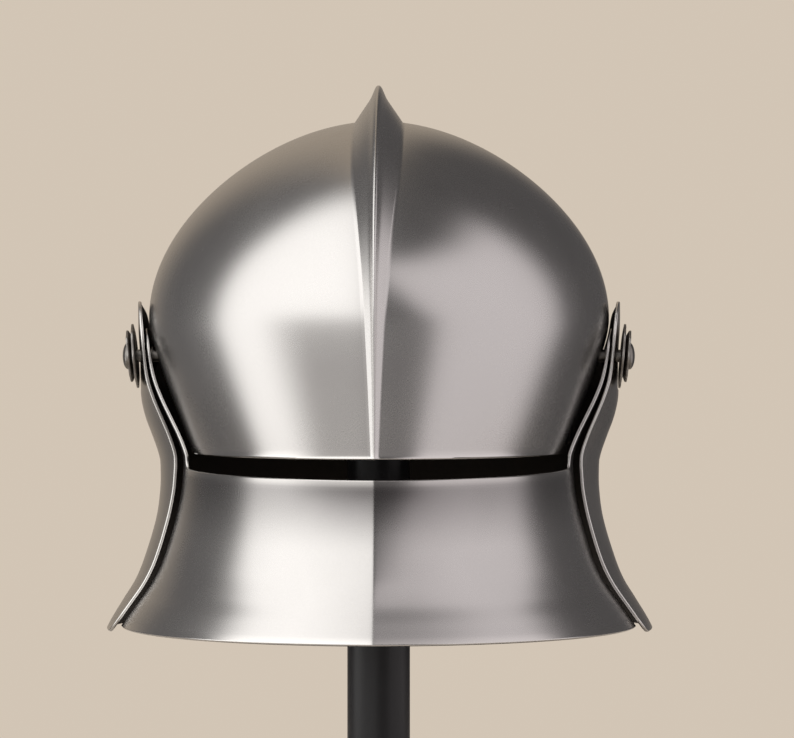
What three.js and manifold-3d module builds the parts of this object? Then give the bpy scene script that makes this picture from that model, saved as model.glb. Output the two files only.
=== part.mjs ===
// A visored sallet of polished plate on a plain stand: a bowl with a raised keel, a flared visor
// that lifts on two temple pivots, and a tail plate that wraps the sides and the back of the neck.
// Millimetres, +Z up, the face towards -Y, the origin under the middle of the stand's base.
import * as THREE from "three";
import { mergeVertices } from "three/addons/utils/BufferGeometryUtils.js";
import Module from "manifold-3d";

const wasm = await Module();
wasm.setup();

// Sheet and fits
const PLATE = 1.6;
const SEAT_GAP = 0.4;
const SHANK_CLEARANCE = 0.5;

// Heights above the surface that the stand rests on
const RIM_HEIGHT = 109.6;
const RIM_FRONT_RISE = 2.6;
const PIVOT_ABOVE_RIM = 129;
const WAIST_ABOVE_RIM = 77.4;
const BROW_ABOVE_RIM = 82.3;
const BROW_FRONT_RISE = 2;
const SIGHT_HEIGHT = 6.2;
const SIGHT_FRONT_FALL = 0.9;
const TAIL_DROP = 2.4;
const TAIL_BACK_DROP = 6;

// The skull, its keel and its lower narrowing
const SKULL_HALF_WIDTH = 110.6;
const SKULL_FRONT = 125.4;
const SKULL_BACK = 137;
const SKULL_CENTRE_SETBACK = 18;
const SKULL_WIDEST_ABOVE_BROW = 64.3;
const CROWN_RISE = 94.8;
const BROW_HALF_WIDTH = 89.8;
const BROW_FRONT = 120.5;
const NAPE_BACK = 118;
const CROWN_NARROWING = 0.14;
const BACK_NARROWING = 0.02;
const LOWER_SOFTNESS = 0.18;
const SKULL_RIDGE = 4;
const KEEL_HEIGHT = 17.2;
const KEEL_HALF_WIDTH = 11.5;

// The visor
const ARM_STANDOFF = 4.9;
const WAIST_STANDOFF = 4.6;
const WAIST_FRONT_STANDOFF = 7.5;
const RIM_SIDE_FLARE = 29.8;
const RIM_FRONT_FLARE = 24;
const VISOR_RIDGE = 15;
const VISOR_ROUNDNESS = 2.2;
const VISOR_SETBACK = 20;
const VISOR_TUCK = 6;
const ARM_FRONT = 22;
const ARM_TIP_RADIUS = 13;
const SIGHT_CORNER_RADIUS = 4;

// The tail plate
const ARM_GAP = 1;
const RIM_GAP = 1;
const TAIL_EDGE = 12;
const TAIL_WIDEST_SETBACK = 36;
const TAIL_BULGE = 10.2;
const NAPE_STANDOFF = 19.2;
const TAIL_BACK_FLARE = 61;
const TAIL_TOP_ABOVE_RIM = 127;
const EAR_TIP_ABOVE_PIVOT = 26;
const EAR_RADIUS = 20;
const TAIL_CORNER_RADIUS = 9;
const TAIL_SWEEP_START = 72;
const TAIL_SWEEP_HANDLE = 44;
const EAR_SWEEP_HANDLE = 7.5;
const TAIL_SIDE_SHARE = 0.3;
const TUCK_CLEARANCE = 0.8;
const TUCK_BEHIND_ARM = 1;
const TUCK_LENGTH = 12;
const TUCK_RISE = 18;

// The pivots
const SHANK_RADIUS = 3;
const HEAD_RADIUS = 6.5;
const HEAD_RISE = 3.6;
const HEAD_EDGE = 0.9;
const BURR_RADIUS = 5;
const BURR_THICKNESS = 2.4;
const BURR_TAPER = 1;
const BURR_STANDOFF = 2.9;
const COLLAR_RADIUS = 4.5;
const COLLAR_STANDOFF = 1.3;
const COLLAR_TO_ARM = 1.9;
const LARGE_ROSETTE_RADIUS = 15.4;
const SMALL_ROSETTE_RADIUS = 12.4;
const ROSETTE_THICKNESS = 1;
const ROSETTE_STANDOFF = 0.4;
const LARGE_ROSETTE_DISH = 0.5;
const SMALL_ROSETTE_DISH = 1.8;
const ROSETTE_FLAT_SHARE = 0.6;
const ROSETTE_TILT = 0.09;
const ROSETTE_LOBES = 8;
const ROSETTE_SCALLOP = 0.5;

// The stand
const BASE_RADIUS = 115;
const BASE_THICKNESS = 14;
const BASE_BEVEL = 2;
const POST_RADIUS = 15;
const CAP_RADIUS = 46;
const CAP_HEIGHT = 30;
const CAP_CLEARANCE = 1.5;

// Heights and places that follow from the sizes above
const pivotHeight = RIM_HEIGHT + PIVOT_ABOVE_RIM;
const waistHeight = RIM_HEIGHT + WAIST_ABOVE_RIM;
const browHeight = RIM_HEIGHT + BROW_ABOVE_RIM;
const widestHeight = browHeight + SKULL_WIDEST_ABOVE_BROW;
const crownHeight = widestHeight + CROWN_RISE;
const visorTopHeight = browHeight - SIGHT_HEIGHT;
const tailBottom = RIM_HEIGHT - TAIL_DROP;
const tailTop = RIM_HEIGHT + TAIL_TOP_ABOVE_RIM;
const earTip = pivotHeight + EAR_TIP_ABOVE_PIVOT;
const waistToPivot = PIVOT_ABOVE_RIM - WAIST_ABOVE_RIM;
const skullFace = THREE.MathUtils.lerp(SKULL_HALF_WIDTH, BROW_HALF_WIDTH, lowerFall(pivotHeight));
const pivotHalfWidth = skullFace + ARM_STANDOFF;
const waistHalfWidth = BROW_HALF_WIDTH + WAIST_STANDOFF;
const rimHalfWidth = waistHalfWidth + RIM_SIDE_FLARE;
const visorWaistFront = BROW_FRONT + WAIST_FRONT_STANDOFF;
const visorRimFront = visorWaistFront + RIM_FRONT_FLARE;
const tailWaistBack = NAPE_BACK + NAPE_STANDOFF;
const tailRimBack = tailWaistBack + TAIL_BACK_FLARE;

// The keel round the middle plane: from the brow (place 0) over the crown to the nape (place 1),
// as shares of the keel's height and half width
const KEEL_SECTIONS = [
  { place: 0.0, height: 0.09, width: 0.14 },
  { place: 0.08, height: 0.18, width: 0.26 },
  { place: 0.17, height: 0.36, width: 0.46 },
  { place: 0.24, height: 0.5, width: 0.7 },
  { place: 0.3, height: 0.64, width: 0.88 },
  { place: 0.4, height: 0.88, width: 0.98 },
  { place: 0.5, height: 1.0, width: 1.0 },
  { place: 0.62, height: 0.9, width: 1.0 },
  { place: 0.76, height: 0.52, width: 0.8 },
  { place: 0.86, height: 0.18, width: 0.45 },
  { place: 0.92, height: 0.06, width: 0.24 },
  { place: 1.0, height: 0.03, width: 0.14 },
];

// The keel's own section: rise over the bowl against the distance from the middle, as shares
const KEEL_PROFILE = [
  { place: 0.0, rise: 1.0 },
  { place: 0.12, rise: 0.94 },
  { place: 0.3, rise: 0.66 },
  { place: 0.5, rise: 0.46 },
  { place: 0.75, rise: 0.23 },
  { place: 1.0, rise: 0.0 },
];

// Below the waist: depth as a share of the drop to the rim, the flare of the visor and of the
// tail as shares of their spread, and the tail's side bulge as a share of its largest
const FLARE_SECTIONS = [
  { place: 0.0, visor: 0.0, tail: 0.0, bulge: 0.92 },
  { place: 0.16, visor: 0.035, tail: 0.05, bulge: 0.82 },
  { place: 0.35, visor: 0.14, tail: 0.17, bulge: 0.7 },
  { place: 0.6, visor: 0.345, tail: 0.4, bulge: 0.66 },
  { place: 0.74, visor: 0.53, tail: 0.58, bulge: 0.55 },
  { place: 0.86, visor: 0.75, tail: 0.77, bulge: 0.47 },
  { place: 1.0, visor: 1.0, tail: 1.0, bulge: 0.38 },
  { place: 1.14, visor: 1.2, tail: 1.18, bulge: 0.3 },
];

// Above the waist: height as a share of the rise to the pivots, the arms' spread as a share of
// its full amount, and the tail's side bulge
const ARM_SECTIONS = [
  { place: 0.0, spread: 0.0, bulge: 0.92 },
  { place: 0.1, spread: 0.03, bulge: 1.0 },
  { place: 0.26, spread: 0.2, bulge: 1.0 },
  { place: 0.42, spread: 0.42, bulge: 0.92 },
  { place: 0.6, spread: 0.67, bulge: 0.68 },
  { place: 0.78, spread: 0.87, bulge: 0.34 },
  { place: 1.0, spread: 1.0, bulge: 0.08 },
  { place: 1.3, spread: 1.06, bulge: 0.05 },
  { place: 1.6, spread: 1.06, bulge: 0.04 },
];

// How far the plates run past the side view cuts that trim them, and the cuts past the plates
const TRIM_OVERLAP = 9;
const CUT_MARGIN = 40;

// Counts of facets, and how finely surfaces are followed
const FAN_STEPS = 30;
const SIDE_STEPS = 11;
const VISOR_STEPS = 14;
const TAIL_SIDE_STEPS = 8;
const TAIL_BACK_STEPS = 9;
const WHEEL_STEPS = 16;
const STAND_STEPS = 32;
const ROSETTE_FACETS = 3;
const CAP_RINGS = 5;
const VISOR_FLARE_ROWS = 9;
const VISOR_ARM_ROWS = 7;
const TAIL_FLARE_ROWS = 7;
const TAIL_EAR_ROWS = 7;
const HEAD_ROWS = 5;
const OUTLINE_SEGMENTS = 8;
const BISECTIONS = 32;
const SURFACE_STEP = 1e-3;
const MERGE_DISTANCE = 1e-4;

// A smooth curve through one column of a table of rows that are in order of their place.
function follow(rows, column, place) {
  const last = rows.length - 1;
  const clamped = THREE.MathUtils.clamp(place, rows[0].place, rows[last].place);
  let index = 0;
  while (index < last - 1 && rows[index + 1].place < clamped) {
    index += 1;
  }
  const slopeAt = (i) => {
    const before = rows[Math.max(i - 1, 0)];
    const after = rows[Math.min(i + 1, last)];
    return (after[column] - before[column]) / (after.place - before.place);
  };
  const from = rows[index];
  const to = rows[index + 1];
  const span = to.place - from.place;
  const t = (clamped - from.place) / span;
  const rest = 1 - t;
  const start = from[column] * (1 + 2 * t) * rest * rest + slopeAt(index) * span * t * rest * rest;
  const end = to[column] * (3 - 2 * t) * t * t - slopeAt(index + 1) * span * t * t * rest;
  return start + end;
}

function solidFromGeometry(geometry) {
  const bare = geometry.clone();
  bare.deleteAttribute("normal");
  bare.deleteAttribute("uv");
  const merged = mergeVertices(bare, MERGE_DISTANCE);
  const triVerts = [];
  const index = merged.index.array;
  for (let i = 0; i < index.length; i += 3) {
    const [a, b, c] = [index[i], index[i + 1], index[i + 2]];
    if (a !== b && b !== c && c !== a) {
      triVerts.push(a, b, c);
    }
  }
  const vertProperties = new Float32Array(merged.attributes.position.array);
  const mesh = new wasm.Mesh({ numProp: 3, vertProperties, triVerts: new Uint32Array(triVerts) });
  return new wasm.Manifold(mesh);
}

function geometryFromSolid(solid) {
  const mesh = solid.getMesh();
  const geometry = new THREE.BufferGeometry();
  geometry.setAttribute("position", new THREE.BufferAttribute(mesh.vertProperties.slice(), 3));
  geometry.setIndex(new THREE.BufferAttribute(mesh.triVerts.slice(), 1));
  return geometry;
}

// A closed plate between two grids of points that have the same rows and columns. The outer
// grid's rows run so that its faces point out.
function plateGeometry(outer, inner) {
  const rows = outer.length;
  const columns = outer[0].length;
  const positions = [...outer.flat(), ...inner.flat()].flatMap((point) => point.toArray());
  const outside = (row, column) => row * columns + column;
  const inside = (row, column) => rows * columns + row * columns + column;
  const faces = [];
  const quad = (a, b, c, d) => faces.push(a, b, c, a, c, d);
  for (let r = 0; r < rows - 1; r += 1) {
    for (let c = 0; c < columns - 1; c += 1) {
      quad(outside(r, c), outside(r, c + 1), outside(r + 1, c + 1), outside(r + 1, c));
      quad(inside(r, c), inside(r + 1, c), inside(r + 1, c + 1), inside(r, c + 1));
    }
    quad(outside(r, 0), outside(r + 1, 0), inside(r + 1, 0), inside(r, 0));
    const end = columns - 1;
    quad(outside(r + 1, end), outside(r, end), inside(r, end), inside(r + 1, end));
  }
  for (let c = 0; c < columns - 1; c += 1) {
    quad(outside(0, c + 1), outside(0, c), inside(0, c), inside(0, c + 1));
    const end = rows - 1;
    quad(outside(end, c), outside(end, c + 1), inside(end, c + 1), inside(end, c));
  }
  const geometry = new THREE.BufferGeometry();
  geometry.setAttribute("position", new THREE.Float32BufferAttribute(positions, 3));
  geometry.setIndex(faces);
  return geometry;
}

// A plate of even thickness behind a surface that is given as a function of two parameters.
function plateBehind(surface, rowPlaces, columnPlaces, thickness) {
  const outer = rowPlaces.map((v) => columnPlaces.map((u) => surface(u, v)));
  const inner = rowPlaces.map((v) => columnPlaces.map((u) => {
    const across = surface(u + SURFACE_STEP, v).sub(surface(u - SURFACE_STEP, v));
    const along = surface(u, v + SURFACE_STEP).sub(surface(u, v - SURFACE_STEP));
    const outward = across.cross(along).normalize();
    return surface(u, v).addScaledVector(outward, -thickness);
  }));
  return plateGeometry(outer, inner);
}

const evenly = (count, from, to) => (
  Array.from({ length: count + 1 }, (_, i) => THREE.MathUtils.lerp(from, to, i / count))
);

// A side view outline in (y, z), pushed across the whole helmet.
function acrossTheHelmet(shape) {
  const halfSpan = rimHalfWidth + CUT_MARGIN;
  const geometry = new THREE.ExtrudeGeometry(shape, {
    depth: 2 * halfSpan,
    bevelEnabled: false,
    curveSegments: OUTLINE_SEGMENTS,
  });
  const upright = new THREE.Matrix4().makeBasis(
    new THREE.Vector3(0, 1, 0),
    new THREE.Vector3(0, 0, 1),
    new THREE.Vector3(1, 0, 0),
  );
  return solidFromGeometry(geometry.applyMatrix4(upright).translate(-halfSpan, 0, 0));
}

// A round solid about the pivot axis, from a profile of (radius, distance from the middle).
function turnedAboutPivot(profile, steps, side) {
  const points = profile.map(([radius, x]) => new THREE.Vector2(radius, x));
  const geometry = new THREE.LatheGeometry(points, steps);
  geometry.rotateZ(-Math.PI / 2);
  if (side < 0) {
    geometry.rotateZ(Math.PI);
  }
  return geometry;
}

function pivotHole(radius) {
  const reach = rimHalfWidth + CUT_MARGIN;
  const geometry = new THREE.CylinderGeometry(radius, radius, 2 * reach, WHEEL_STEPS);
  return solidFromGeometry(geometry.rotateZ(Math.PI / 2).translate(0, 0, pivotHeight));
}

// How far the bowl has drawn in below its widest line, from 0 there to 1 at the brow.
function lowerFall(height) {
  const depth = (widestHeight - height) / SKULL_WIDEST_ABOVE_BROW;
  const soft = (share) => Math.hypot(share, LOWER_SOFTNESS) - LOWER_SOFTNESS;
  return soft(depth) / soft(1);
}

// The skull. Level sections are ovals, wider behind the middle than in front; `shrink` takes the
// surface in by that much, for the inner wall and for what fits inside.
function skullLevel(height, shrink) {
  const above = (height - widestHeight) / (CROWN_RISE - shrink);
  if (above >= 1) {
    return null;
  }
  const round = (narrowing) => Math.sqrt(1 - above * above) * (1 - narrowing * above * above);
  if (above >= 0) {
    return {
      half: (SKULL_HALF_WIDTH - shrink) * round(CROWN_NARROWING),
      front: (SKULL_FRONT - shrink) * round(CROWN_NARROWING),
      back: (SKULL_BACK - shrink) * round(BACK_NARROWING),
    };
  }
  const fall = lowerFall(height);
  return {
    half: THREE.MathUtils.lerp(SKULL_HALF_WIDTH, BROW_HALF_WIDTH, fall) - shrink,
    front: THREE.MathUtils.lerp(SKULL_FRONT, BROW_FRONT, fall) - shrink,
    back: THREE.MathUtils.lerp(SKULL_BACK, NAPE_BACK, fall) - shrink,
  };
}

function insideSkull(point, shrink) {
  const level = skullLevel(point.z, shrink);
  if (!level) {
    return false;
  }
  const share = Math.min(Math.abs(point.x) / level.half, 1);
  const behind = point.y - SKULL_CENTRE_SETBACK;
  const frontLength = level.front - SKULL_RIDGE + SKULL_CENTRE_SETBACK;
  const length = behind < 0 ? frontLength : level.back - SKULL_CENTRE_SETBACK;
  const ridge = behind < 0 ? SKULL_RIDGE * (1 - share) : 0;
  const past = Math.max(Math.abs(behind) - ridge, 0) / length;
  return share * share + past * past < 1;
}

const fanCentre = new THREE.Vector3(0, SKULL_CENTRE_SETBACK / 2, browHeight);

// The bowl's surface along a direction from the middle of the brow line.
function bowlPoint(direction, shrink) {
  let near = 0;
  let far = SKULL_BACK + CROWN_RISE;
  for (let i = 0; i < BISECTIONS; i += 1) {
    const middle = (near + far) / 2;
    const point = fanCentre.clone().addScaledVector(direction, middle);
    if (insideSkull(point, shrink)) {
      near = middle;
    } else {
      far = middle;
    }
  }
  return fanCentre.clone().addScaledVector(direction, near);
}

// A point of the bowl at a fan angle round the cross axis and a lean towards one side.
function fanDirection(angle, lean) {
  return new THREE.Vector3(
    Math.sin(lean),
    -Math.cos(angle) * Math.cos(lean),
    Math.sin(angle) * Math.cos(lean),
  );
}

function skullSection(place, shrink) {
  const startAngle = Math.atan(BROW_FRONT_RISE / BROW_FRONT);
  const angle = THREE.MathUtils.lerp(startAngle, Math.PI, place);
  const outward = fanDirection(angle, 0);
  const middle = bowlPoint(outward, shrink).sub(fanCentre).length();
  const keelHalf = KEEL_HALF_WIDTH * follow(KEEL_SECTIONS, "width", place) - shrink / 2;
  const keelRise = KEEL_HEIGHT * follow(KEEL_SECTIONS, "height", place);
  const keelLean = Math.atan(keelHalf / middle);
  const side = KEEL_PROFILE.map(({ place: share, rise }) => {
    const point = bowlPoint(fanDirection(angle, keelLean * share), shrink);
    return point.addScaledVector(outward, keelRise * rise);
  });
  for (const share of evenly(SIDE_STEPS, 0, 1).slice(1)) {
    const lean = THREE.MathUtils.lerp(keelLean, Math.PI / 2, share);
    side.push(bowlPoint(fanDirection(angle, lean), shrink));
  }
  const mirrored = side.slice(1).map((point) => new THREE.Vector3(-point.x, point.y, point.z));
  return [...mirrored.reverse(), ...side];
}

const fanPlaces = evenly(FAN_STEPS, 0, 1);
const skullSolid = solidFromGeometry(plateGeometry(
  fanPlaces.map((place) => skullSection(place, 0)),
  fanPlaces.map((place) => skullSection(place, PLATE)),
)).subtract(pivotHole(SHANK_RADIUS + SHANK_CLEARANCE));

// Side lines shared by the visor and the tail
function sideLine(height) {
  if (height < waistHeight) {
    const place = (waistHeight - height) / WAIST_ABOVE_RIM;
    const visorFlare = follow(FLARE_SECTIONS, "visor", place);
    const tailFlare = follow(FLARE_SECTIONS, "tail", place);
    return {
      half: THREE.MathUtils.lerp(waistHalfWidth, rimHalfWidth, visorFlare),
      front: THREE.MathUtils.lerp(visorWaistFront, visorRimFront, visorFlare),
      back: THREE.MathUtils.lerp(tailWaistBack, tailRimBack, tailFlare),
      bulge: TAIL_BULGE * follow(FLARE_SECTIONS, "bulge", place),
      gap: RIM_GAP,
    };
  }
  const place = (height - waistHeight) / waistToPivot;
  const spread = follow(ARM_SECTIONS, "spread", place);
  return {
    half: THREE.MathUtils.lerp(waistHalfWidth, pivotHalfWidth, spread),
    front: visorWaistFront,
    back: tailWaistBack,
    bulge: TAIL_BULGE * follow(ARM_SECTIONS, "bulge", place),
    gap: THREE.MathUtils.lerp(RIM_GAP, ARM_GAP, Math.min(place, 1)),
  };
}

// The visor's outer face at a turn from the middle (0) to its rear (1 or -1).
function visorSurface(turn, height) {
  const line = sideLine(height);
  const angle = Math.abs(turn) * Math.PI / 2;
  const power = 2 / VISOR_ROUNDNESS;
  const share = Math.sin(angle) ** power;
  const reach = line.front - VISOR_RIDGE + VISOR_SETBACK;
  const forward = reach * Math.max(Math.cos(angle), 0) ** power + VISOR_RIDGE * (1 - share);
  const y = VISOR_SETBACK - forward;
  return new THREE.Vector3(Math.sign(turn) * line.half * share, y, height);
}

function visorOutline() {
  const reach = visorRimFront + VISOR_SETBACK;
  const rear = VISOR_TUCK - TAIL_EDGE;
  const tipStart = pivotHeight - ARM_TIP_RADIUS;
  const shape = new THREE.Shape();
  shape.moveTo(-reach, RIM_HEIGHT + RIM_FRONT_RISE);
  shape.lineTo(rear, RIM_HEIGHT);
  shape.lineTo(rear, visorTopHeight);
  shape.quadraticCurveTo(rear, tipStart, ARM_TIP_RADIUS, pivotHeight);
  shape.absarc(0, pivotHeight, ARM_TIP_RADIUS, 0, Math.PI, false);
  shape.quadraticCurveTo(-ARM_TIP_RADIUS, tipStart, -ARM_FRONT, browHeight);
  shape.lineTo(-ARM_FRONT, visorTopHeight + SIGHT_CORNER_RADIUS);
  const cornerEnd = -ARM_FRONT - SIGHT_CORNER_RADIUS;
  shape.quadraticCurveTo(-ARM_FRONT, visorTopHeight, cornerEnd, visorTopHeight);
  shape.lineTo(-reach, visorTopHeight - SIGHT_FRONT_FALL);
  shape.closePath();
  return shape;
}

const visorRows = [
  ...evenly(VISOR_FLARE_ROWS, RIM_HEIGHT - TRIM_OVERLAP, waistHeight),
  ...evenly(VISOR_ARM_ROWS, waistHeight, pivotHeight + ARM_TIP_RADIUS + TRIM_OVERLAP).slice(1),
];
const visorColumns = evenly(2 * VISOR_STEPS, -1, 1);
const visorSolid = solidFromGeometry(plateBehind(visorSurface, visorRows, visorColumns, PLATE))
  .intersect(acrossTheHelmet(visorOutline()))
  .subtract(pivotHole(SHANK_RADIUS + SHANK_CLEARANCE));

// How far the visor has curved in at a place ahead of its widest line, more towards the arm's tip.
function armCurve(y, height) {
  const line = sideLine(height);
  const reach = line.front - VISOR_RIDGE + VISOR_SETBACK;
  const ahead = Math.max(VISOR_SETBACK - y, 0) / reach;
  const share = (1 - ahead ** VISOR_ROUNDNESS) ** (1 / VISOR_ROUNDNESS);
  const upward = THREE.MathUtils.clamp((height - waistHeight) / waistToPivot, 0, 1);
  return line.half * (1 - share) * upward;
}

// How far the tail leans in behind the arm's tip to lie along the bowl.
function tuck(y, height) {
  const line = sideLine(height);
  const start = ARM_TIP_RADIUS + TUCK_BEHIND_ARM;
  const behind = THREE.MathUtils.smoothstep(y, start, start + TUCK_LENGTH);
  const upward = THREE.MathUtils.smoothstep(height, pivotHeight - TUCK_RISE, pivotHeight);
  const room = line.half + line.gap + line.bulge - skullLevel(height, 0).half - TUCK_CLEARANCE;
  return Math.max(room, 0) * behind * upward;
}

// How far out the tail's side stands at a place ahead of its widest line.
function tailFace(y, height) {
  const line = sideLine(height);
  const drawn = (TAIL_WIDEST_SETBACK - y) / (TAIL_WIDEST_SETBACK + TAIL_EDGE);
  const open = line.half + line.gap + PLATE + line.bulge * (1 - drawn * drawn);
  return open - armCurve(y, height) - tuck(y, height);
}

// The tail's outer face. `turn` runs from -1 at the right edge round the back (0) to 1 on the left:
// past the widest place it is a half oval, and in front of it the sides draw in.
function tailSurface(turn, height) {
  const line = sideLine(height);
  const size = Math.abs(turn);
  const side = -Math.sign(turn);
  if (size > 1 - TAIL_SIDE_SHARE) {
    const forward = (size - 1 + TAIL_SIDE_SHARE) / TAIL_SIDE_SHARE;
    const y = THREE.MathUtils.lerp(TAIL_WIDEST_SETBACK, -TAIL_EDGE - VISOR_TUCK, forward);
    return new THREE.Vector3(side * tailFace(y, height), y, height);
  }
  const angle = size / (1 - TAIL_SIDE_SHARE) * Math.PI / 2;
  const back = line.back - TAIL_WIDEST_SETBACK;
  return new THREE.Vector3(
    side * tailFace(TAIL_WIDEST_SETBACK, height) * Math.sin(angle),
    TAIL_WIDEST_SETBACK + back * Math.cos(angle),
    height,
  );
}

function tailOutline() {
  const behind = tailRimBack + TRIM_OVERLAP;
  const earHeight = earTip - EAR_RADIUS;
  const earBack = 2 * EAR_RADIUS - TAIL_EDGE;
  const handleHeight = earHeight - EAR_SWEEP_HANDLE;
  const shape = new THREE.Shape();
  shape.moveTo(-TAIL_EDGE + TAIL_CORNER_RADIUS, tailBottom);
  shape.lineTo(behind, tailBottom - TAIL_BACK_DROP);
  shape.lineTo(behind, tailTop);
  shape.lineTo(TAIL_SWEEP_START, tailTop);
  shape.bezierCurveTo(TAIL_SWEEP_HANDLE, tailTop, earBack, handleHeight, earBack, earHeight);
  shape.absarc(EAR_RADIUS - TAIL_EDGE, earHeight, EAR_RADIUS, 0, Math.PI, false);
  shape.lineTo(-TAIL_EDGE, tailBottom + TAIL_CORNER_RADIUS);
  shape.quadraticCurveTo(-TAIL_EDGE, tailBottom, -TAIL_EDGE + TAIL_CORNER_RADIUS, tailBottom);
  return shape;
}

const tailRows = [
  ...evenly(TAIL_FLARE_ROWS, tailBottom - TRIM_OVERLAP, waistHeight),
  ...evenly(TAIL_EAR_ROWS, waistHeight, earTip + PLATE).slice(1),
];
const tailColumns = [
  ...evenly(TAIL_SIDE_STEPS, -1, TAIL_SIDE_SHARE - 1),
  ...evenly(2 * TAIL_BACK_STEPS, TAIL_SIDE_SHARE - 1, 1 - TAIL_SIDE_SHARE).slice(1),
  ...evenly(TAIL_SIDE_STEPS, 1 - TAIL_SIDE_SHARE, 1).slice(1),
];
const tailSolid = solidFromGeometry(plateBehind(tailSurface, tailRows, tailColumns, PLATE))
  .intersect(acrossTheHelmet(tailOutline()))
  .subtract(pivotHole(SHANK_RADIUS + SHANK_CLEARANCE));

// The pivots
// The large rosette's face, clear of the tail all round its edge.
function rosetteSeat() {
  const faces = evenly(ROSETTE_LOBES * ROSETTE_FACETS, 0, 2 * Math.PI).map((turn) => {
    const up = LARGE_ROSETTE_RADIUS * Math.sin(turn);
    const tail = tailFace(LARGE_ROSETTE_RADIUS * Math.cos(turn), pivotHeight + up);
    return tail - LARGE_ROSETTE_DISH - up * ROSETTE_TILT;
  });
  return Math.max(...faces) + ROSETTE_STANDOFF;
}

const largeFace = rosetteSeat();
const smallFace = largeFace + ROSETTE_THICKNESS + SEAT_GAP;
const headFace = smallFace + ROSETTE_THICKNESS + SEAT_GAP + HEAD_RADIUS * ROSETTE_TILT;

// A washer that is flat round the shank and dished out towards its lobed edge.
function rosetteGeometry(radius, dish, face, side) {
  const hole = SHANK_RADIUS + 2 * SHANK_CLEARANCE;
  const flat = radius * ROSETTE_FLAT_SHARE;
  const profile = [
    [hole, 0],
    [flat, 0],
    [radius, dish],
    [radius, dish + ROSETTE_THICKNESS],
    [flat, ROSETTE_THICKNESS],
    [hole, ROSETTE_THICKNESS],
    [hole, 0],
  ];
  const geometry = new THREE.LatheGeometry(
    profile.map(([r, x]) => new THREE.Vector2(r, x)),
    ROSETTE_LOBES * ROSETTE_FACETS,
  );
  const position = geometry.attributes.position;
  for (let i = 0; i < position.count; i += 1) {
    const r = Math.hypot(position.getX(i), position.getZ(i));
    if (r > flat + PLATE / 2) {
      const turn = Math.atan2(position.getZ(i), position.getX(i));
      const scale = 1 - ROSETTE_SCALLOP / radius * (1 - Math.cos(turn * ROSETTE_LOBES));
      position.setX(i, position.getX(i) * scale);
      position.setZ(i, position.getZ(i) * scale);
    }
  }
  geometry.rotateZ(-Math.PI / 2);
  geometry.rotateY(ROSETTE_TILT);
  if (side < 0) {
    geometry.rotateZ(Math.PI);
  }
  return geometry.translate(side * face, 0, pivotHeight);
}

function rivetGeometry(side) {
  const skullInner = skullFace - PLATE - BURR_STANDOFF;
  const collarStart = skullFace + COLLAR_STANDOFF;
  const collarEnd = pivotHalfWidth - PLATE - COLLAR_TO_ARM;
  const domeRise = HEAD_RISE - HEAD_EDGE;
  const dome = evenly(HEAD_ROWS, 0, Math.PI / 2).map((angle) => (
    [HEAD_RADIUS * Math.cos(angle), headFace + HEAD_EDGE + domeRise * Math.sin(angle)]
  ));
  const profile = [
    [0, skullInner - BURR_THICKNESS],
    [BURR_RADIUS - BURR_TAPER, skullInner - BURR_THICKNESS],
    [BURR_RADIUS, skullInner],
    [SHANK_RADIUS, skullInner],
    [SHANK_RADIUS, collarStart],
    [COLLAR_RADIUS, collarStart],
    [COLLAR_RADIUS, collarEnd],
    [SHANK_RADIUS, collarEnd],
    [SHANK_RADIUS, headFace],
    [HEAD_RADIUS, headFace],
    ...dome.slice(0, -1),
    [0, headFace + HEAD_RISE],
  ];
  return turnedAboutPivot(profile, WHEEL_STEPS, side).translate(0, 0, pivotHeight);
}

// The stand: a turned base, a plain post, and a cap cut to the bowl's inner form
function baseGeometry() {
  const profile = [
    [0, 0],
    [BASE_RADIUS - BASE_BEVEL, 0],
    [BASE_RADIUS, BASE_BEVEL],
    [BASE_RADIUS, BASE_THICKNESS - BASE_BEVEL],
    [BASE_RADIUS - BASE_BEVEL, BASE_THICKNESS],
    [0, BASE_THICKNESS],
  ];
  const points = profile.map(([r, z]) => new THREE.Vector2(r, z));
  return new THREE.LatheGeometry(points, STAND_STEPS).rotateX(Math.PI / 2);
}

const capBottom = crownHeight - PLATE - CAP_CLEARANCE - CAP_HEIGHT;
const postBottom = BASE_THICKNESS + SEAT_GAP;
const postTop = capBottom - SEAT_GAP;

function postGeometry() {
  const length = postTop - postBottom;
  const geometry = new THREE.CylinderGeometry(POST_RADIUS, POST_RADIUS, length, STAND_STEPS);
  return geometry.rotateX(Math.PI / 2).translate(0, 0, (postBottom + postTop) / 2);
}

// The cap's top over a point of its flat underside.
function capPoint(radius, turn) {
  const point = new THREE.Vector3(radius * Math.cos(turn), radius * Math.sin(turn), capBottom);
  let low = capBottom;
  let high = crownHeight;
  for (let i = 0; i < BISECTIONS; i += 1) {
    const middle = (low + high) / 2;
    if (insideSkull(point.clone().setZ(middle), PLATE + CAP_CLEARANCE)) {
      low = middle;
    } else {
      high = middle;
    }
  }
  return point.setZ(low);
}

function capGeometry() {
  const rows = evenly(CAP_RINGS, 0, 1).map((share) => (
    evenly(STAND_STEPS, 0, 2 * Math.PI).map((turn) => capPoint(CAP_RADIUS * share, turn))
  ));
  const floorRows = rows.map((row) => row.map((point) => point.clone().setZ(capBottom)));
  return geometryFromSolid(solidFromGeometry(plateGeometry(floorRows, rows)));
}

const finish = (color, roughness, metalness) => (
  new THREE.MeshStandardMaterial({ color, roughness, metalness })
);
const polishedSteel = () => finish(0xb9b5b0, 0.28, 1);
const darkSteel = () => finish(0x8f8b86, 0.36, 1);
const blackPaint = () => finish(0x17171a, 0.42, 0);

const sallet = new THREE.Group();

function addPiece(name, geometry, material) {
  const mesh = new THREE.Mesh(geometry, material);
  mesh.name = name;
  sallet.add(mesh);
}

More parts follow.
